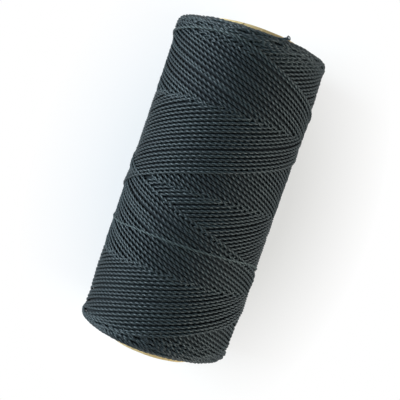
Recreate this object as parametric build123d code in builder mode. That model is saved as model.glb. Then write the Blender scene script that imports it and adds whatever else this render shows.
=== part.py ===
from build123d import *
from math import cos, radians, sin
import os

# Waxed thread spool: one long waxed cord, cross-wound on a paper core that is itself
# wound in a spiral from glued strips. There are no flanges. The spool lies on its side:
# its axis runs along Y, and the origin is below its middle, on the surface it lies on.
# Every length is in millimetres and every angle in degrees.

# Paper core: glued plies, one on another. Each stands for a strip wound edge to edge.
core_length = 119.3
bore_radius = 14.0
ply_thickness = 0.5
ply_count = 4
core_radius = bore_radius + ply_count * ply_thickness

# Winding: closed layers of the cord, each one pass up and one pass down everywhere.
# It lies a little towards the +Y end of the core.
winding_length = 113.6
winding_middle = 0.65
winding_end = winding_middle + winding_length / 2
winding_radius = 27.5
shoulder_radius = 3.0
layer_count = 7
layer_thickness = (winding_radius - core_radius) / layer_count

# The cord itself, where single turns of it stand free of the layers.
cord_diameter = 1.1
cord_radius = cord_diameter / 2

# Finishing wrap: the last turn, laid square round the outside and bitten into it.
wrap_place = -18.1
wrap_proud = 0.5
wrap_radius = winding_radius + wrap_proud - cord_radius

# Tail: the cord's end, laid in the shoulder at the +Y end and lifting off it.
tail_slope = 45.0
tail_start_angle = 6.0
tail_lift_angle = 20.0
tail_rise = 60.0
tail_free_length = 1.5
tail_bend_radius = 2.0

# Sealed tip: the melted end of the cord, wider than the cord and rounded.
tip_diameter = 1.6
tip_thickness = 0.6
tip_rounding = 0.25

# The spool touches the surface with its widest turn.
axis_height = winding_radius + wrap_proud
spool_axis = Axis((0, 0, axis_height), (0, 1, 0))
half_section = Plane(origin=(0, 0, axis_height), x_dir=(0, 1, 0), z_dir=(1, 0, 0))


def on_shoulder(angle):
    """A point on the shoulder's round, at an angle about the axis from straight up."""
    along = winding_end - shoulder_radius * (1 - sin(radians(tail_slope)))
    out = winding_radius - shoulder_radius * (1 - cos(radians(tail_slope)))
    return Vector(out * sin(radians(angle)), along, axis_height + out * cos(radians(angle)))


def make_ply(number):
    """One ply of the core, counted from the bore outwards."""
    with BuildPart() as ply:
        with BuildSketch(half_section):
            with Locations((0, bore_radius + (number - 0.5) * ply_thickness)):
                Rectangle(core_length, ply_thickness)
        revolve(axis=spool_axis)
    return ply


def make_tail():
    """The cord's loose end, from its seat in the shoulder to its free end."""
    middle_angle = (tail_start_angle + tail_lift_angle) / 2
    lift = on_shoulder(tail_lift_angle)
    onward = Vector(cos(radians(tail_lift_angle)), 0, -sin(radians(tail_lift_angle)))
    off = Vector(
        cos(radians(tail_slope)) * sin(radians(tail_lift_angle)),
        sin(radians(tail_slope)),
        cos(radians(tail_slope)) * cos(radians(tail_lift_angle)),
    )
    away = onward * cos(radians(tail_rise)) + off * sin(radians(tail_rise))
    stations = [
        on_shoulder(tail_start_angle),
        on_shoulder(middle_angle),
        lift,
        lift + away * tail_free_length,
    ]
    with BuildPart() as tail:
        with BuildLine() as route:
            FilletPolyline(*stations, radius=tail_bend_radius)
        with BuildSketch(Plane(origin=route.line @ 0, z_dir=route.line % 0)):
            Circle(cord_radius)
        sweep(path=route.line)
    return tail, Plane(origin=route.line @ 1, z_dir=route.line % 1)


def make_tip(tail_end):
    """The melted button on the end of the cord."""
    with BuildPart() as tip:
        with BuildSketch(tail_end):
            Circle(tip_diameter / 2)
        extrude(amount=tip_thickness)
        fillet(tip.edges().filter_by(GeomType.CIRCLE), radius=tip_rounding)
    return tip


def make_wrap():
    """The finishing wrap, one closed turn."""
    with BuildPart() as wrap:
        with BuildSketch(half_section):
            with Locations((wrap_place, wrap_radius)):
                Circle(cord_radius)
        revolve(axis=spool_axis)
    return wrap


def make_layer(number, seated):
    """One closed layer of turns, counted from the core outwards, less what sits in it."""
    inner = core_radius + (number - 1) * layer_thickness
    with BuildPart() as layer:
        with BuildSketch(half_section) as section:
            with Locations((winding_middle, (core_radius + winding_radius) / 2)):
                Rectangle(winding_length, winding_radius - core_radius)
            fillet(section.vertices().group_by(Axis.Y)[-1], radius=shoulder_radius)
            with Locations((winding_middle, inner + layer_thickness / 2)):
                Rectangle(winding_length, layer_thickness, mode=Mode.INTERSECT)
        revolve(axis=spool_axis)
        for turn in seated:
            add(turn.part, mode=Mode.SUBTRACT)
    return layer


os.makedirs("parts", exist_ok=True)
pieces = {}
for number in range(1, ply_count + 1):
    pieces[f"core_ply_{number}"] = make_ply(number)

pieces["finishing_wrap"] = make_wrap()
pieces["cord_tail"], tail_end = make_tail()
pieces["sealed_tip"] = make_tip(tail_end)

loose_turns = [pieces["finishing_wrap"], pieces["cord_tail"]]
for number in range(1, layer_count + 1):
    pieces[f"cord_layer_{number}"] = make_layer(number, loose_turns)

for label, piece in pieces.items():
    piece.part.label = label
    export_step(piece.part, f"parts/{label}.step")
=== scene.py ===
import math

import bpy
import numpy as np
from mathutils import Matrix, Vector


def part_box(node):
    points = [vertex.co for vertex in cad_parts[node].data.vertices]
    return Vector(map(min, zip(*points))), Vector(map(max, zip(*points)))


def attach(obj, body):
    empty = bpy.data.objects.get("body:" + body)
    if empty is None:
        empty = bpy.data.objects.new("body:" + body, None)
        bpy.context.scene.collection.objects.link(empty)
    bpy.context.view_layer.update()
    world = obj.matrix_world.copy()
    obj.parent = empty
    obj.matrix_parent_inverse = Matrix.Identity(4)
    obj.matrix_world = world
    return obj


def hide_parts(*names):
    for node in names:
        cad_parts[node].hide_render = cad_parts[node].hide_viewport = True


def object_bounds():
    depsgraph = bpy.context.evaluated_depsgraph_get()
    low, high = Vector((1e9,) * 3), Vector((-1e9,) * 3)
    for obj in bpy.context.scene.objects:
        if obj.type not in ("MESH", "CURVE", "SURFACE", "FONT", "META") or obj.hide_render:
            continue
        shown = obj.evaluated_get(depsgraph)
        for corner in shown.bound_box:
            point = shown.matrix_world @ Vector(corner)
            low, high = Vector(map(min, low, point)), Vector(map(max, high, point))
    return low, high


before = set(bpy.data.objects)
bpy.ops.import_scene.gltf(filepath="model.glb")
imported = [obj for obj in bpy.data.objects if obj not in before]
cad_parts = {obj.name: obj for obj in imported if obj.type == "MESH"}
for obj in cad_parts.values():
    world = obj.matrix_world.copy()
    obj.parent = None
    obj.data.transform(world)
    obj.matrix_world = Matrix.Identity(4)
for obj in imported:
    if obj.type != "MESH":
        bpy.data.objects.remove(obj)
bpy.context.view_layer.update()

# A spool of waxed cord lying on a pale surface. The cord is laid turn by turn, oldest
# first, on a height map of the winding, so that each turn rests on the turns below it.
# The spool's lengths are in millimetres and its angles in degrees until a mesh is made.
# Angles go round the spool from straight up towards +X, and places along the axis are
# measured from the middle of the winding. Lamps, floor and materials are in metres.
MM = 0.001
rng = np.random.default_rng(108)


def radius_of(node):
    low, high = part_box(node)
    return (high.x - low.x) / 2 / MM


def length_of(node):
    low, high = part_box(node)
    return (high.y - low.y) / MM


def middle_of(node):
    low, high = (np.array(corner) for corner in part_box(node))
    return (low + high) / 2 / MM


# Sizes taken from the frame.
core_radius = radius_of("core_ply_4")
core_length = length_of("core_ply_4")
ply_thickness = radius_of("core_ply_2") - radius_of("core_ply_1")
axis_height = middle_of("core_ply_4")[2]
winding_radius = radius_of("cord_layer_7")
winding_half = length_of("cord_layer_1") / 2
winding_middle = middle_of("cord_layer_1")[1]
cord_radius = length_of("finishing_wrap") / 2
wrap_place = middle_of("finishing_wrap")[1] - winding_middle

# The cord: two plies twisted together to the right, one full twist per lead. Its section
# is drawn for drawn_radius, and each point's groove value says how deep between the plies it is,
# which sets the painted shade there.
cord_lead = 4.2
drawn_radius = 0.55
section_points = np.array(
    [(0.57, 0.0), (0.38, 0.35), (0.0, 0.27), (-0.38, 0.35),
     (-0.57, 0.0), (-0.38, -0.35), (0.0, -0.27), (0.38, -0.35)]
) * (cord_radius / drawn_radius)
section_count = len(section_points)
section_groove = np.array([0.0, 0.15, 1.0, 0.15] * 2)
section_perimeter = float(
    np.linalg.norm(section_points - np.roll(section_points, 1, axis=0), axis=1).sum()
)
strand_end_girth = 0.2

# The outer turns come in pieces of so many rings, which keeps each below the exporter's
# limit of 200,000 triangles.
rings_per_piece = 12000

# The traverse: travel along the axis per turn, and the ends that the straight runs aim
# at. A stroke goes from the +Y end to the -Y end and back, and creep is the part of a turn
# by which it ends further round than the one before it. The cord reverses for the last
# time at last_top_angle, and leaves the traverse for its finishing turn at leave_angle.
rise_pitch = 57.5
fall_pitch = 59.0
straight_top = 57.6
straight_bottom = -59.6
last_top_angle = -44.5
leave_angle = 100
rise_turns = (straight_top - straight_bottom) / rise_pitch
fall_turns = (straight_top - straight_bottom) / fall_pitch
stroke_turns = rise_turns + fall_turns
creep = stroke_turns % 1
strokes_laid = 84

# How far inside those ends the reversals bend back, and how the line wanders: over how
# many degrees a wander changes, and its rms size.
top_inset_range = (1.6, 4.3)
bottom_inset_range = (3.0, 5.7)
last_top_inset = 5.2
short_wander = (70, 0.07)
long_wander = (300, 0.11)

# Height map of the winding: one column per degree round it, and rows along the axis. A
# turn raises the rows within deposit_reach of it by a gaussian of this spread. The
# starting surface is blurred across so many rows, and a turn's height along the cord.
cell = 0.25
map_end = 58.0
row_places = np.arange(-map_end, map_end + cell / 2, cell)
spread = 0.7
deposit_reach = 10
starting_blur_reach = 8
level_blur = 3

# Heights on the map: what a turn adds, and how far height 0 lies outside the turns that
# would just touch the CAD's surface from within. The newest turns stand a little higher.
turn_thickness = 0.47
newest_rise = 0.75
last_reversal_rise = 0.25
last_reversal_reach = 60
newest_stroke_rise = 0.18

# The winding's form: an even barrel with rounded shoulders, on which the turns near the
# ends are pressed flatter, towards their mean lift. The back, at +Y, stands fuller at -X.
# The front, at -Y, hangs slack and leans out at -X, where its falling turns are pulled in.
# Turns slope over a shoulder until their slope's sine is shoulder_limit, and lie closer.
shoulder_radius = 2.8
shoulder_thinning = 0.6
shoulder_limit = 0.999
end_flattening = 0.6
mean_lift = -0.2
back_fullness, back_tilt = 0.05, 0.38
front_slack = 0.33
front_edge_slack, front_edge_tilt = 0.1, 0.25
front_lean = 0.55
pull_depth = 0.3

# Where each of these sets in, going outwards: its start, and the length it takes. The left
# is measured by how far -X an angle points, from 0 to 1.
flattening_zone = (50, 5)
back_zone = (45, 6)
front_zone = (41, 5)
front_edge_zone = (50, 5)
lean_zone = (46, 8)
left_zone = (0.7, 0.12)


# ---------------------------------------------------------------- small helpers
def ramp(values, start, length):
    """0 up to the start, then rising to 1 over that length."""
    return np.clip((values - start) / length, 0, 1)


def bell(offsets, width):
    """1 in the middle, falling to 1/e at that width."""
    return np.exp(-((offsets / width) ** 2))


def gaussian(offsets, sigma):
    return np.exp(-((offsets / sigma) ** 2) / 2)


def blurred(values, sigma, reach=None):
    """Values smoothed by a gaussian window, which is cut off at three sigma or that reach."""
    reach = reach or 3 * sigma
    window = gaussian(np.arange(-reach, reach + 1), sigma)
    return np.convolve(np.pad(values, reach, mode="edge"), window / window.sum(), mode="valid")


def smooth_noise(count, step, size):
    """Random wander that changes over about so many samples, of that rms size."""
    knots = rng.normal(0, size, count // step + 3)
    return np.interp(np.arange(count) / step, np.arange(len(knots)), knots)


def random_tone():
    usual, scatter, darkest = 0.3, 0.2, 0.8
    return float(np.clip(rng.normal(usual, scatter), 0, darkest))


def random_phase():
    return rng.uniform(0, 2 * np.pi)


# ---------------------------------------------------------------- node trees
class Tree:
    """The nodes of a material or a world, with a short way to add each kind used here."""

    def __init__(self, owner):
        owner.use_nodes = True
        self.nodes, self.links = owner.node_tree.nodes, owner.node_tree.links

    def fill(self, node, inputs):
        """Gives each of these inputs a plain value or another node's output."""
        for key, value in inputs.items():
            if isinstance(value, bpy.types.NodeSocket):
                self.links.new(value, node.inputs[key])
            else:
                node.inputs[key].default_value = value

    def add(self, kind, inputs, operation=None):
        node = self.nodes.new(f"ShaderNode{kind}")
        if operation is not None:
            node.operation = operation
        self.fill(node, inputs)
        return node

    def object_place(self):
        return self.add("TexCoord", {}).outputs["Object"]

    def attribute(self, name, output="Fac"):
        node = self.add("Attribute", {})
        node.attribute_name = name
        return node.outputs[output]

    def noise(self, source, scale, stretch, detail):
        """A noise over some coordinates, each scaled by stretch."""
        mapping = self.add("Mapping", {"Vector": source, "Scale": stretch})
        inputs = {"Vector": mapping.outputs[0], "Scale": scale, "Detail": detail}
        return self.add("TexNoise", inputs).outputs["Fac"]

    def remap(self, source, low, high, from_low=0.3, from_high=0.7):
        """Maps from_low to from_high, by default most of a noise's range, onto low to high."""
        ends = {"From Min": from_low, "From Max": from_high, "To Min": low, "To Max": high}
        return self.add("MapRange", {"Value": source, **ends}).outputs["Result"]

    def mix(self, factor, first, second):
        """Mixes two colours, each a colour tuple or an output, by the node's RGBA sockets."""
        first_socket, second_socket, result_socket = 6, 7, 2
        node = self.nodes.new("ShaderNodeMix")
        node.data_type = "RGBA"
        self.fill(node, {"Factor": factor, first_socket: first, second_socket: second})
        return node.outputs[result_socket]

    def bump(self, height, distance, strength):
        inputs = {"Height": height, "Distance": distance, "Strength": strength}
        return self.add("Bump", inputs).outputs["Normal"]

    def seen_rays(self):
        """1 for rays that show the background: camera, mirrored and refracted ones."""
        path = self.add("LightPath", {}).outputs
        seen = path["Is Camera Ray"]
        for kind in ("Is Glossy Ray", "Is Transmission Ray"):
            seen = self.add("Math", {0: seen, 1: path[kind]}, "MAXIMUM").outputs[0]
        return seen


def new_material(name):
    """A new material, its tree and its shader."""
    material = bpy.data.materials.new(name)
    tree = Tree(material)
    return material, tree, tree.nodes["Principled BSDF"]


# ---------------------------------------------------------------- camera, light, floor
def make_camera():
    """Almost straight above the spool, turned so that its axis leans to the right. Its
    place and angles are fitted to the photo."""
    distance, tilt, roll = 280.0, 3.4866, -18.9406
    aim_x, aim_y = 0.13, 13.77
    sensor_width, focal_length = 36, 69.29064
    data = bpy.data.cameras.new("camera")
    data.sensor_width, data.lens = sensor_width, focal_length
    data.clip_start, data.clip_end = 0.01, 10
    camera = bpy.data.objects.new("camera", data)
    camera.matrix_world = (
        Matrix.Translation(Vector((aim_x, aim_y, axis_height + distance)) * MM)
        @ Matrix.Rotation(math.radians(-tilt), 4, "X")
        @ Matrix.Rotation(math.radians(-roll), 4, "Z")
    )
    bpy.context.scene.collection.objects.link(camera)
    bpy.context.scene.camera = camera


def make_window(name, place, power, colour):
    """A soft lamp like a small window, aimed at the spool."""
    aim, width, length = Vector((0, 0, 0.03)), 0.32, 0.5
    data = bpy.data.lights.new(name, "AREA")
    data.shape, data.size, data.size_y = "RECTANGLE", width, length
    data.energy, data.color = power, colour
    lamp = bpy.data.objects.new(name, data)
    lamp.location = place
    lamp.rotation_euler = (aim - Vector(place)).to_track_quat("-Z", "Y").to_euler()
    bpy.context.scene.collection.objects.link(lamp)


def make_world():
    """A pale room, dim overhead: soft light all round, and white where it is seen or mirrored."""
    world = bpy.data.worlds.new("room")
    bpy.context.scene.world = world
    tree = Tree(world)
    tree.nodes.clear()
    cool, white = (0.90, 0.95, 1.0, 1), (1.0, 1.0, 1.0, 1)
    direction = tree.add("TexCoord", {}).outputs["Generated"]
    height = tree.add("SeparateXYZ", {0: direction}).outputs["Z"]
    lit = tree.remap(height, 0.86, 0.02, 0.42, 0.80)
    shown = tree.remap(height, 1.0, 0.0, 0.56, 0.86)
    lighting = tree.add("Background", {"Color": cool, "Strength": lit})
    backdrop = tree.add("Background", {"Color": white, "Strength": shown})
    layers = {0: tree.seen_rays(), 1: lighting.outputs[0], 2: backdrop.outputs[0]}
    mix = tree.add("MixShader", layers)
    tree.add("OutputWorld", {"Surface": mix.outputs[0]})


def make_floor(height):
    """A pale table top, lifted towards white where it is seen, with the shadow kept. The
    lift grows with the distance from the spool, in which Y counts for less, so the floor near the
    spool is left darker as a painted shade."""
    half, y_share = 3.0, 0.65
    near, far = 0.034, 0.070
    # Less lift near the spool leaves the floor there darker: painted shade round the spool.
    near_lift, far_lift = 0.42, 1.0
    table, white = (0.86, 0.80, 0.79, 1), (1.0, 1.0, 1.0, 1)
    corners = [(x * half, y * half, height) for x, y in ((-1, -1), (1, -1), (1, 1), (-1, 1))]
    mesh = bpy.data.meshes.new("floor")
    mesh.from_pydata(corners, [], [(0, 1, 2, 3)])
    floor = bpy.data.objects.new("floor", mesh)
    bpy.context.scene.collection.objects.link(floor)
    material = bpy.data.materials.new("pale_table")
    tree = Tree(material)
    tree.nodes.clear()
    scaled = {0: tree.object_place(), 1: (1.0, y_share, 0.0)}
    shortened = tree.add("VectorMath", scaled, "MULTIPLY").outputs["Vector"]
    from_middle = tree.add("VectorMath", {0: shortened}, "LENGTH").outputs["Value"]
    lift = tree.remap(from_middle, near_lift, far_lift, near, far)
    share = tree.add("Math", {0: tree.seen_rays(), 1: lift}, "MULTIPLY")
    paint = tree.add("BsdfDiffuse", {"Color": table})
    glow = tree.add("Emission", {"Color": white, "Strength": 1.0})
    layers = {0: share.outputs[0], 1: paint.outputs[0], 2: glow.outputs[0]}
    mix = tree.add("MixShader", layers)
    tree.add("OutputMaterial", {"Surface": mix.outputs[0]})
    mesh.materials.append(material)


# ---------------------------------------------------------------- the cord's line
def rounding(turns, inset, pitch):
    """How far a run bends off its straight line near a reversal with that inset."""
    reach = 2 * inset / pitch
    return pitch * np.maximum(reach - turns, 0) ** 2 / (2 * reach)


def winding_line():
    """One point per degree of the cord's line: degrees, places along the axis, falling."""
    first = math.ceil(last_top_angle - 360 * stroke_turns * strokes_laid)
    degrees = np.arange(first, leave_angle + 1)
    turns = (degrees - last_top_angle) / 360
    stroke = np.floor(turns / stroke_turns).astype(int)
    into = turns - stroke * stroke_turns
    falling = into < fall_turns
    pitch = np.where(falling, fall_pitch, rise_pitch)
    from_top = np.where(falling, into, stroke_turns - into)
    top_insets = rng.uniform(*top_inset_range, strokes_laid + 2)
    bottom_insets = rng.uniform(*bottom_inset_range, strokes_laid + 2)
    top_insets[strokes_laid] = last_top_inset
    places = straight_top - pitch * from_top
    places -= rounding(from_top, top_insets[stroke + strokes_laid + ~falling], pitch)
    places += rounding(np.abs(into - fall_turns), bottom_insets[stroke + strokes_laid], pitch)
    places += smooth_noise(len(degrees), *short_wander) + smooth_noise(len(degrees), *long_wander)
    places += irregularities(degrees, places, stroke, falling)
    places += newest_reversal(degrees)
    return degrees, places, falling


def newest_reversal(degrees):
    """Shifts that carry the last reversal at the +Y end over to the right, in a wide arch."""
    angles = [-95, -85, -65, -49, -36, -27, -11, 0, 12, 25]
    shifts = [0, -0.1, -1.2, -0.8, -0.4, 0.2, 1.15, 0.85, 0.25, 0]
    return blurred(np.interp(degrees, angles, shifts), 4)


def irregularities(degrees, places, stroke, falling):
    """Shifts of the turns that lie a little off their regular places, low on the front left.
    Each has the stroke, counted back from the newest, the angle and the size of a shift."""
    turns_off = [(-6, -45, -0.5), (-7, -45, -0.3), (-9, -30, 0.3)]
    last_shift, width, highest = 0.35, 28, 15
    shifts = np.where((stroke == -1) & falling, last_shift, 0.0)
    around = (degrees + 180) % 360 - 180
    for number, angle, shift in turns_off:
        there = (stroke == number) & falling & (places < highest)
        shifts += np.where(there, shift * bell(around - angle, width), 0)
    return shifts


# ---------------------------------------------------------------- laying the turns
def starting_heights():
    """The winding's surface before the first simulated stroke: two spiral ramps."""
    around = (np.arange(360)[:, None] - last_top_angle) / 360
    below_top = straight_top - row_places[None, :]
    fall_age = (-strokes_laid * creep - creep + below_top / fall_pitch - around) % 1
    rise_age = (-strokes_laid * creep - below_top / rise_pitch - around) % 1
    heights = -turn_thickness * (fall_age + rise_age + 2 * strokes_laid * creep)
    return np.apply_along_axis(blurred, 1, heights, spread / cell, starting_blur_reach)


def map_rows(places, offset=0):
    """The map's rows nearest to these places, or so many rows further on."""
    nearest = np.rint((places + map_end) / cell).astype(int)
    return np.clip(nearest + offset, 0, len(row_places) - 1)


def deposits(places):
    """The rows that turns at these places raise, with how much each of them counts."""
    for offset in range(-deposit_reach, deposit_reach + 1):
        rows = map_rows(places, offset)
        yield rows, gaussian(rows * cell - map_end - places, spread)


def pressing(places):
    """How much thinner turns are pressed at each place, because more of them pass there."""
    one_round = places[-int(360 * stroke_turns / creep):]
    passes = np.zeros(len(row_places))
    for rows, weights in deposits(one_round):
        np.add.at(passes, rows, weights)
    passes /= np.median(passes)
    return 1 / np.maximum(passes, 1)


def read_map(heights, columns, places):
    """Heights at these places, between the two nearest rows."""
    position = np.clip((places + map_end) / cell, 0, len(row_places) - 1.001)
    row = position.astype(int)
    share = position - row
    return heights[columns, row] * (1 - share) + heights[columns, row + 1] * share


def lay_turns(degrees, places, falling):
    """Lays the line, one run from end to end at a time. Returns each point's height, the
    final map, and how much thinner the turns are pressed at each of its rows."""
    heights = starting_heights()
    press = pressing(places)
    levels = np.zeros(len(degrees))
    edges = [0, *(np.flatnonzero(np.diff(falling)) + 1), len(degrees)]
    for start, stop in zip(edges[:-1], edges[1:]):
        columns = degrees[start:stop] % 360
        there = places[start:stop]
        levels[start:stop] = blurred(read_map(heights, columns, there), level_blur)
        pitch = fall_pitch if falling[start] else rise_pitch
        peak = turn_thickness * pitch * creep / (spread * math.sqrt(2 * math.pi))
        thickness = peak * press[map_rows(there)]
        for rows, weights in deposits(there):
            heights[columns, rows] += thickness * weights
    levels += last_reversal_rise * bell(degrees - last_top_angle, last_reversal_reach)
    since_bottom = (degrees - last_top_angle) / 360 + rise_turns
    levels += newest_stroke_rise * ramp(since_bottom, 0, 0.5)
    return levels - pulled_in(degrees, places, falling), heights, press


# ---------------------------------------------------------------- the winding's form
def pulled_in(degrees, places, falling):
    """How much tighter the falling turns lie at the -Y end's left, under the rising ones."""
    left = ramp(-np.sin(np.radians(degrees)), *left_zone)
    share = np.interp(places, [-55, -51, -41, -36], [0, 1, 1, 0])
    return pull_depth * falling * left * share


def end_fullness(degrees, places):
    """How far the winding's ends stand off its round profile: full at -X, slack at +X."""
    side = np.sin(np.radians(degrees))
    back = ramp(places, *back_zone) * (back_fullness - back_tilt * side)
    front = ramp(-places, *front_zone) * front_slack
    front_edge = ramp(-places, *front_edge_zone) * (front_edge_slack + front_edge_tilt * side)
    return back - front - front_edge


def end_reach(degrees, places):
    """How far the winding's -Y end leans out towards -Y on its -X side."""
    left = 0.5 - 0.5 * np.sin(np.radians(degrees))
    return front_lean * ramp(-places, *lean_zone) * left


def profile_point(degrees, places, lift):
    """Radius, place and outward direction of a cord centre that far off the winding's profile."""
    flatter = end_flattening * ramp(np.abs(places), *flattening_zone)
    lift = (lift - mean_lift) * (1 - flatter) + mean_lift
    bend = winding_half - shoulder_radius
    inner = shoulder_radius - cord_radius
    over = np.clip((np.abs(places) - bend) / inner, 0, shoulder_limit)
    side = np.sign(places)
    along = np.where(over > 0, side * over, 0)
    out = np.sqrt(1 - over**2)
    lift = (lift + newest_rise) * (1 - shoulder_thinning * over)
    radius = winding_radius - shoulder_radius + inner * out
    radius += lift * out + end_fullness(degrees, places)
    on_axis = np.where(over > 0, side * (bend + inner * over), places)
    place = winding_middle + on_axis + lift * along - end_reach(degrees, places)
    return radius, place, out, along


def in_space(degrees, radius, place):
    """Points round the axis. The radius and the place are one for all or one for each."""
    angle = np.radians(degrees)
    place = np.broadcast_to(place, angle.shape)
    return np.stack([radius * np.sin(angle), place, axis_height + radius * np.cos(angle)], 1)


def outward(degrees, out, along):
    angle = np.radians(degrees)
    return np.stack([out * np.sin(angle), along, out * np.cos(angle)], 1)


def visible_runs(burial, limit, margin):
    """Stretches of the line that no later turn covers, with a margin at both ends."""
    seen = np.convolve(burial < limit, np.ones(2 * margin + 1), mode="same") > 0
    flips = np.flatnonzero(np.diff(np.concatenate([[0], seen, [0]])))
    return [(a, b) for a, b in zip(flips[::2], flips[1::2]) if b - a > 2 * margin + 3]


# ---------------------------------------------------------------- meshes
def ring_quads(ids, flip=False):
    """Quads between each ring of vertex numbers and the next, facing either way."""
    after = np.roll(ids, -1, axis=1)
    quads = np.stack([ids[:-1], after[:-1], after[1:], ids[1:]], -1).reshape(-1, 4)
    return quads[:, [0, 3, 2, 1]] if flip else quads


def quad_mesh(name, vertices, quads, caps=np.empty((0, 4), int), smooth=True):
    """A mesh of quads and equal polygons, from arrays in millimetres."""
    mesh = bpy.data.meshes.new(name)
    mesh.vertices.add(len(vertices))
    mesh.vertices.foreach_set("co", (vertices * MM).astype(np.float32).ravel())
    corners = np.concatenate([quads.ravel(), caps.ravel()]).astype(np.int32)
    sizes = np.repeat([4, caps.shape[1]], [len(quads), len(caps)])
    mesh.loops.add(len(corners))
    mesh.loops.foreach_set("vertex_index", corners)
    mesh.polygons.add(len(sizes))
    mesh.polygons.foreach_set("loop_start", (np.cumsum(sizes) - sizes).astype(np.int32))
    mesh.polygons.foreach_set("use_smooth", np.full(len(sizes), smooth))
    mesh.update(calc_edges=True)
    mesh.validate()
    return mesh


def set_attribute(mesh, name, values):
    """Gives each vertex a number or a vector for a material to read."""
    kind, key = ("FLOAT_VECTOR", "vector") if values.ndim == 2 else ("FLOAT", "value")
    attribute = mesh.attributes.new(name, kind, "POINT")
    attribute.data.foreach_set(key, values.astype(np.float32).ravel())


def set_corner_map(mesh, uvs):
    """The map that colours are baked through. Corners past the given ones are caps."""
    layer = mesh.uv_layers.new(name="OFBake")
    full = np.zeros((len(mesh.loops), 2), np.float32)
    full[: len(uvs)] = uvs
    layer.uv.foreach_set("vector", full.ravel())


def add_piece(name, mesh, material):
    mesh.materials.append(material)
    piece = bpy.data.objects.new(name, mesh)
    bpy.context.scene.collection.objects.link(piece)
    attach(piece, "root")
    return piece


class Strand:
    """One stretch of cord: centre points, outward directions, phase of the twist, a colour
    shift, and a number that picks its fibre pattern. A shift of 0 is plain, 1 is darker, and -1
    is lighter: a painted highlight."""

    def __init__(self, points, normals, phase, tone, number, girth=1.0):
        self.points, self.normals, self.girth = points, normals, girth
        self.phase, self.tone, self.number = phase, tone, number
        steps = np.linalg.norm(np.diff(points, axis=0), axis=1)
        self.along = np.concatenate([[0], np.cumsum(steps)])

    def rings(self):
        """The twisted two-ply section carried along the line, drawn in at both ends."""
        tangent = np.gradient(self.points, axis=0)
        tangent /= np.linalg.norm(tangent, axis=1, keepdims=True)
        normal = self.normals - (self.normals * tangent).sum(1, keepdims=True) * tangent
        normal /= np.linalg.norm(normal, axis=1, keepdims=True)
        beside = np.cross(tangent, normal)
        turn = 2 * np.pi * self.along / cord_lead + self.phase
        cos, sin = np.cos(turn)[:, None], np.sin(turn)[:, None]
        size = np.full(len(turn), self.girth)
        size[[0, -1]] = strand_end_girth
        across = (section_points[:, 0] * cos - section_points[:, 1] * sin) * size[:, None]
        up = (section_points[:, 0] * sin + section_points[:, 1] * cos) * size[:, None]
        return (
            self.points[:, None]
            + across[..., None] * normal[:, None]
            + up[..., None] * beside[:, None]
        )


def cord_piece(name, strands, material):
    """One piece of many strands, with the attributes that the cord's material reads."""
    pattern_step, row_slack = 10, 1.01
    vertices, faces, corner_uvs, fibre, groove_shade, tone = [], [], [], [], [], []
    total = sum(s.along[-1] for s in strands)
    rows = math.ceil(math.sqrt(total / section_perimeter))
    row_length = total / rows * row_slack
    first, done = 0, 0.0
    for s in strands:
        rings = s.rings()
        n, count, _ = rings.shape
        vertices.append(rings.reshape(-1, 3))
        faces.append(ring_quads(first + np.arange(n * count).reshape(n, count)))
        corner_uvs.append(strip_map(s.along + done, row_length, rows))
        spot = np.empty((n, count, 3))
        spot[..., 0] = s.along[:, None] + pattern_step * s.number
        spot[..., 1:] = section_points
        fibre.append(spot.reshape(-1, 3))
        groove_shade.append(np.tile(section_groove, n))
        tone.append(np.repeat(np.broadcast_to(s.tone, n), count))
        first += n * count
        done += s.along[-1]
    caps = strand_ends(strands)
    mesh = quad_mesh(name, np.concatenate(vertices), np.concatenate(faces), caps)
    set_corner_map(mesh, np.concatenate(corner_uvs))
    set_attribute(mesh, "fibre", np.concatenate(fibre))
    set_attribute(mesh, "groove_shade", np.concatenate(groove_shade))
    set_attribute(mesh, "tone", np.concatenate(tone))
    return add_piece(name, mesh, material)


def strand_ends(strands):
    """The small end caps of all strands, as loops of vertex numbers."""
    caps, first = [], 0
    for s in strands:
        last = first + len(s.points) * section_count
        caps.append(np.arange(first, first + section_count)[::-1])
        caps.append(np.arange(last - section_count, last))
        first = last
    return np.array(caps)


def strip_map(along, row_length, rows):
    """Lays the strand's faces in rows of a square map, one cord's girth to a row."""
    row_fill, girth_fill, girth_start = 0.99, 0.92, 0.04
    row = np.floor(along[:-1] / row_length)
    left = (along[:-1] / row_length - row) * row_fill
    right = (along[1:] / row_length - row) * row_fill
    edge = np.arange(section_count + 1) / section_count * girth_fill + girth_start
    low = (row[:, None] + edge[None, :-1]) / rows
    high = (row[:, None] + edge[None, 1:]) / rows
    wide_left = np.broadcast_to(left[:, None], low.shape)
    wide_right = np.broadcast_to(right[:, None], low.shape)
    corners = [(wide_left, low), (wide_left, high), (wide_right, high), (wide_right, low)]
    return np.stack([np.stack(c, -1) for c in corners], 2).reshape(-1, 2)


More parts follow.
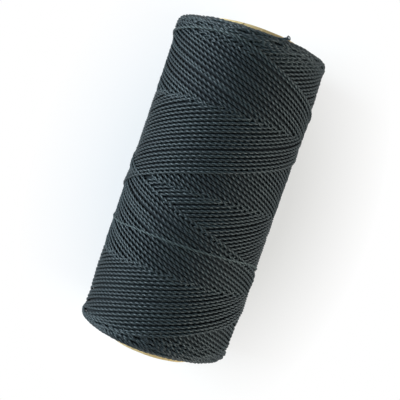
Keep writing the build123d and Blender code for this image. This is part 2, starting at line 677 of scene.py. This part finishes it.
# ---------------------------------------------------------------- materials
def waxed_cord():
    """Dark slate fibre under a thin coat of wax: fibre streaks, hazy patches, painted shade
    between the plies and a painted highlight on the turns on top.
    """
    material, tree, shader = new_material("waxed_cord")
    deep, slate = (0.006, 0.010, 0.012, 1), (0.019, 0.030, 0.035, 1)
    waxy, fleck = (0.026, 0.040, 0.044, 1), (0.050, 0.074, 0.080, 1)
    # The second colour on the next line is a painted highlight, for the turns that lie on top.
    darker, painted_highlight = (0.008, 0.015, 0.020, 1), (0.055, 0.078, 0.078, 1)
    # The darkest colour, on the next line, is painted shade for the hollows between the plies.
    painted_groove_shade = (0.004, 0.007, 0.008, 1)
    fibre = tree.attribute("fibre", "Vector")
    groove_shade = tree.attribute("groove_shade")
    tone = tree.attribute("tone")
    streaks = tree.noise(fibre, 1.0, (0.7, 9.0, 9.0), 4.0)
    haze = tree.noise(fibre, 1.0, (0.16, 0.6, 0.6), 3.0)
    flecks = tree.noise(fibre, 1.0, (1.1, 1.6, 1.6), 2.0)
    colour = tree.mix(streaks, deep, slate)
    colour = tree.mix(tree.remap(haze, 0.0, 0.45), colour, waxy)
    colour = tree.mix(tree.remap(flecks, 0.0, 0.6, 0.5, 0.68), colour, fleck)
    colour = tree.mix(tone, colour, darker)
    # Painted highlight: a value below 0 mixes the cord towards the lighter colour.
    colour = tree.mix(tree.remap(tone, 0.7, 0.0, -1.0, 0.0), colour, painted_highlight)
    # Painted shade: the hollows between the plies are darkened, and below, their reflection is
    # turned down.
    colour = tree.mix(groove_shade, colour, painted_groove_shade)
    tree.fill(shader, {
        "Base Color": colour,
        "Specular IOR Level": tree.remap(groove_shade, 0.5, 0.1, 0.0, 1.0),
        "Sheen Weight": 0.04,
        "Sheen Roughness": 0.3,
        "Roughness": tree.remap(flecks, 0.52, 0.36),
        "Normal": tree.bump(streaks, 0.00005, 0.8),
    })
    return material


def buried_cord():
    """The turns below the outer ones, seen only between them, coloured darker than the cord as
    painted shade.
    """
    material, tree, shader = new_material("buried_cord")
    # Both colours are darker than the cord's own: painted shade where these turns show between
    # the outer ones.
    black, dark = (0.003, 0.004, 0.005, 1), (0.012, 0.016, 0.019, 1)
    noise = tree.noise(tree.object_place(), 900.0, (1, 1, 1), 3.0)
    tree.fill(shader, {
        "Base Color": tree.mix(noise, black, dark),
        "Specular IOR Level": 0.2,
        "Roughness": 0.8,
        "Normal": tree.bump(noise, 0.0003, 0.8),
    })
    return material


def kraft_paper():
    """Brown paper board: long fibres, small specks, and lighter scuffed edges."""
    material, tree, shader = new_material("kraft_paper")
    brown, tan = (0.44, 0.28, 0.11, 1), (0.60, 0.42, 0.20, 1)
    straw, bark, scuffed = (0.70, 0.53, 0.29, 1), (0.20, 0.12, 0.06, 1), (0.72, 0.55, 0.29, 1)
    place = tree.object_place()
    clouds = tree.noise(place, 120.0, (1, 1, 1), 4.0)
    fibres = tree.noise(place, 1500.0, (1, 0.12, 1), 3.0)
    specks = tree.noise(place, 2600.0, (1, 0.5, 1), 1.0)
    colour = tree.mix(clouds, brown, tan)
    colour = tree.mix(tree.remap(fibres, 0.0, 0.5), colour, straw)
    colour = tree.mix(tree.remap(specks, 0.0, 0.7, 0.66, 0.74), colour, bark)
    colour = tree.mix(tree.attribute("edge"), colour, scuffed)
    tree.fill(shader, {
        "Base Color": colour,
        "Specular IOR Level": 0.25,
        "Roughness": 0.85,
        "Normal": tree.bump(fibres, 0.00006, 0.6),
    })
    return material


def melted_cord():
    """Cord melted to a hard bead: dark and glossy at the rim, pale grey in the middle."""
    material, tree, shader = new_material("melted_cord")
    black, dark = (0.008, 0.010, 0.013, 1), (0.022, 0.027, 0.032, 1)
    pale_grey = (0.50, 0.52, 0.54, 1)
    noise = tree.noise(tree.object_place(), 2500.0, (1, 1, 1), 3.0)
    colour = tree.mix(noise, black, dark)
    tree.fill(shader, {
        "Base Color": tree.mix(tree.attribute("pale_top"), colour, pale_grey),
        "Specular IOR Level": 0.3,
        "Roughness": tree.remap(noise, 0.22, 0.45),
        "Normal": tree.bump(noise, 0.00008, 0.6),
    })
    return material


# ---------------------------------------------------------------- pieces
def make_outer_turns(degrees, places, levels, heights, press, material):
    """The turns that show on the outside and the shoulders, in a few pieces. A turn shows
    until later ones cover it by a share of a turn's thickness, which is more at the ends.
    The turns round the last reversal get a painted highlight: their colour is mixed lighter."""
    margin, highlight_middle, highlight_width = 6, 10, 45
    own = turn_thickness * press[map_rows(places)]
    burial = read_map(heights, degrees % 360, places) - levels - own
    limit = turn_thickness * np.interp(places, [-52, -48, 48, 52], [0.9, 0.5, 0.5, 1.5])
    radius, place, out, along = profile_point(degrees, places, levels + own)
    points = in_space(degrees, radius, place)
    normals = outward(degrees, out, along)
    groups, size = [[]], 0
    for number, (a, b) in enumerate(visible_runs(burial, limit, margin)):
        phase = random_phase()
        # Painted highlight on the turns round the last reversal: this bell lowers their colour
        # shift.
        painted_highlight = bell(degrees[a:b] - last_top_angle - highlight_middle, highlight_width)
        tone = random_tone() - painted_highlight
        if size + b - a > rings_per_piece:
            groups.append([])
            size = 0
        groups[-1].append(Strand(points[a:b], normals[a:b], phase, tone, number))
        size += b - a
    for number, strands in enumerate(groups, 1):
        piece = cord_piece(f"outer_turns_{number}", strands, material)
        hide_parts("cord_layer_7", "cord_layer_6")


def make_end_turns(side, name, material):
    """The reversals that make one flat end of the winding, from the core outwards."""
    count, scatter = 190, 12
    half_arc, step = 30, 2.0
    bend_turns, rim = 0.26, 1.1
    depth_range, wander = (-0.1, 0.2), (8, 0.12)
    innermost, outermost = core_radius + cord_radius, winding_radius - rim
    bend, inner = winding_radius - shoulder_radius, shoulder_radius - cord_radius
    offsets = np.arange(-half_arc, half_arc + 1, step)
    dip = rise_pitch * (offsets / 360) ** 2 / bend_turns
    normals = np.tile([0.0, side, 0.0], (len(offsets), 1))
    at_end = np.full(len(offsets), side * winding_half)
    strands = []
    for number in range(count):
        share = number / count
        radius = innermost + share * (outermost - innermost)
        around = (number * 2 * creep * 360 + rng.normal(0, scatter)) % 360 + offsets
        rounded = inner - math.sqrt(inner**2 - max(radius - bend, 0) ** 2)
        apex = winding_half - cord_radius - rounded - rng.uniform(*depth_range)
        wave = radius + smooth_noise(len(offsets), *wander)
        wave += share * end_fullness(around, at_end)
        lean = share * end_reach(around, at_end)
        points = in_space(around, wave, winding_middle + side * (apex - dip) - lean)
        tone = random_tone()
        strands.append(Strand(points, normals, random_phase(), tone, number))
    piece = cord_piece(name, strands, material)
    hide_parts(*[f"cord_layer_{n}" for n in range(1, 6)])


def make_buried_turns(heights, material):
    """The body of the winding just below the turns that show, as one closed solid."""
    sink, deepest = 0.65, 1.8
    end_sink, end_width, end_gap, ring_step = 1.3, 6.5, 0.4, 1.0
    columns = np.arange(0, 360, 2)
    ends = winding_half - end_sink
    along = [-ends, -ends]
    rings = [core_radius, core_radius + end_width]
    for place in np.arange(-ends + end_gap, ends - end_gap, ring_step):
        there = np.full(len(columns), place)
        surface = read_map(heights, columns, there)
        radius, _, _, _ = profile_point(columns, there, 0.0)
        rings.append(radius - sink + np.clip(surface, -deepest, 0))
        along.append(place)
    rings += [rings[1], rings[0]]
    along += [ends, ends]
    vertices = [in_space(columns, r, winding_middle + y) for r, y in zip(rings, along)]
    ids = np.arange(len(rings) * len(columns)).reshape(len(rings), len(columns))
    quads = ring_quads(np.vstack([ids, ids[:1]]), flip=True)
    mesh = quad_mesh("buried_turns", np.concatenate(vertices), quads)
    piece = add_piece("buried_turns", mesh, material)
    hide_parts(*[f"cord_layer_{n}" for n in range(1, 8)])


def make_finishing_wrap(heights, start_place, material):
    """The cord's last stretch: down across the back, then once round. It is nearly square
    to the axis until the right, where it bends towards -Y, and its end is tucked in."""
    round_angle, last_angle = 270, 622
    round_place = wrap_place + 0.1
    degrees = np.arange(leave_angle, last_angle + 1)
    share = ramp(degrees, leave_angle, round_angle - leave_angle)
    ease = 1.25 * share - 0.25 * share**5
    places = start_place + (round_place - start_place) * ease
    along_round = [round_angle, 300, 320, 360, 385, 414, 422, 433, 450, 480, last_angle]
    off_round = [0.0, -0.6, 0.0, 0.0, 0.2, 0.1, -0.3, -1.35, -2.7, -2.7, -1.6]
    places += np.interp(degrees, along_round, off_round)
    places = blurred(places + smooth_noise(len(degrees), 50, 0.05), 5)
    level = blurred(read_map(heights, degrees % 360, places), 6)
    tucked = ramp(degrees, last_angle - 14, 12)
    pressed_in = ramp(degrees, round_angle - 40, 60)
    own = turn_thickness * (1.1 - 0.1 * pressed_in - 1.2 * tucked)
    radius, place, out, along = profile_point(degrees, places, level + own)
    points = in_space(degrees, radius, place)
    normals = outward(degrees, out, along)
    # A shift of -0.9 makes this turn lighter: a painted highlight on the turn that lies on top.
    strand = Strand(points, normals, phase=1.0, tone=-0.9, number=7, girth=0.78)
    piece = cord_piece("finishing_turn", [strand], material)
    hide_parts("finishing_wrap")


def make_tail(material):
    """The loose end: out from under the shoulder's turns, then lifting off at the +Y end.
    Its first points lie deeper than its seat on the shoulder."""
    start, lift_at = 4.0, 20.0
    slope, count = math.radians(45.0), 26
    place = winding_middle + winding_half - shoulder_radius * (1 - math.sin(slope))
    radius = winding_radius - shoulder_radius * (1 - math.cos(slope))
    seat = in_space(np.array([start, (start + lift_at) / 2, lift_at]), radius, place)
    seat[:2] += [(0, -1.2, -1.2), (0, -0.5, -0.5)]
    controls = np.vstack([seat, middle_of("sealed_tip")])
    t = np.linspace(0, 1, count)
    blend = [(1 - t) ** 3, 3 * t * (1 - t) ** 2, 3 * t**2 * (1 - t), t**3]
    points = np.stack(blend, 1) @ controls
    normals = points - [0, 0, axis_height]
    strand = Strand(points, normals, phase=0.4, tone=0.25, number=3)
    piece = cord_piece("loose_end", [strand], material)
    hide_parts("cord_tail")
    return points[-1], points[-1] - points[-2]


def make_tip(end, direction, material):
    """The melted bead on the loose end: a squat, slightly dented button, turned upwards.
    Its profile gives each ring's place along the cord and radius, and the next list how far each
    ring is mixed to pale grey."""
    profile = [
        (-0.55, 0.30), (-0.35, 0.60), (-0.05, 0.78), (0.2, 0.82),
        (0.38, 0.70), (0.34, 0.46), (0.2, 0.2),
    ]
    pale_top = [0, 0, 0, 0, 0, 0.2, 1.0]
    flatness = 0.78
    direction = direction / np.linalg.norm(direction) + [0, 0, 1.0]
    direction /= np.linalg.norm(direction)
    side = np.cross(direction, [0, 0, 1.0])
    side /= np.linalg.norm(side)
    other = np.cross(direction, side)
    around = np.radians(np.arange(0, 360, 15))
    lumps = 1 + 0.06 * np.sin(2 * around + 0.6) + 0.04 * np.sin(5 * around)
    ring = np.cos(around)[:, None] * side + flatness * np.sin(around)[:, None] * other
    vertices = [
        end + direction * along + ring * (radius * lumps)[:, None] for along, radius in profile
    ]
    ids = np.arange(len(profile) * len(around)).reshape(len(profile), len(around))
    caps = np.array([ids[0][::-1], ids[-1]])
    mesh = quad_mesh("sealed_end", np.concatenate(vertices), ring_quads(ids), caps)
    set_attribute(mesh, "pale_top", np.repeat(pale_top, len(around)))
    piece = add_piece("sealed_end", mesh, material)
    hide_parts("sealed_tip")


def make_ply(number, material):
    """One ply of the core: a strip wound in a steep spiral, its edges almost meeting. Its
    ends are eased, slightly frayed and scuffed."""
    advance, seam_step, seam_gap = 118.0, 130.0, 0.35
    easing, inner_easing, fraying, scuff = 0.12, 0.7, (3, 0.05), 0.8
    steps, end_stretch, between_count = 90, 3, 32
    outer = radius_of(f"core_ply_{number}")
    inner = outer - ply_thickness
    gap = math.degrees(seam_gap / outer)
    half = core_length / 2
    between = np.linspace(-half + end_stretch, half - end_stretch, between_count)
    stations = [-half, -half + easing, *between, half - easing, half]
    rows = []
    for place in stations:
        at_end = abs(place) == half
        first = seam_step * number + place / advance * 360 + gap / 2
        degrees = first + np.linspace(0, 360 - gap, steps)
        trim = easing if at_end else 0.0
        fray = smooth_noise(steps, *fraying) if at_end else np.zeros(steps)
        on_axis = place - np.sign(place) * np.abs(fray)
        rows.append(in_space(degrees, outer - trim, on_axis))
        rows.append(in_space(degrees[::-1], inner + trim * inner_easing, on_axis[::-1]))
    vertices = np.concatenate(rows)
    ids = np.arange(len(vertices)).reshape(len(stations), 2 * steps)
    quads = [ring_quads(ids, flip=True)]
    for row, facing in ((ids[0], 1), (ids[-1], -1)):
        outside, inside = row[:steps], row[steps:][::-1]
        rim = np.stack([outside[:-1], outside[1:], inside[1:], inside[:-1]], -1)
        quads.append(rim[:, ::facing])
    mesh = quad_mesh(f"kraft_ply_{number}", vertices, np.concatenate(quads), smooth=False)
    near_end = np.abs(np.repeat(stations, 2 * steps)) > half - easing / 2
    set_attribute(mesh, "edge", near_end * scuff)
    piece = add_piece(f"kraft_ply_{number}", mesh, material)
    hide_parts(f"core_ply_{number}")


# ---------------------------------------------------------------- the scene
bpy.context.scene.view_settings.view_transform = "Standard"
make_camera()
make_world()
make_window("left_window", (-0.58, 0.05, 0.31), power=8.6, colour=(0.72, 0.90, 1.0))
make_window("right_window", (0.64, -0.1, 0.31), power=4.9, colour=(0.93, 1.0, 0.91))

cord = waxed_cord()
degrees, places, falling = winding_line()
levels, heights, press = lay_turns(degrees, places, falling)
make_outer_turns(degrees, places, levels, heights, press, cord)
make_end_turns(1, "end_turns_back", cord)
make_end_turns(-1, "end_turns_front", cord)
make_buried_turns(heights, buried_cord())
make_finishing_wrap(heights, places[-1], cord)
tail_end, tail_direction = make_tail(cord)
make_tip(tail_end, tail_direction, melted_cord())
kraft = kraft_paper()
for number in range(1, 5):
    make_ply(number, kraft)

bpy.context.view_layer.update()
low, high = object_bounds()
make_floor(low.z)
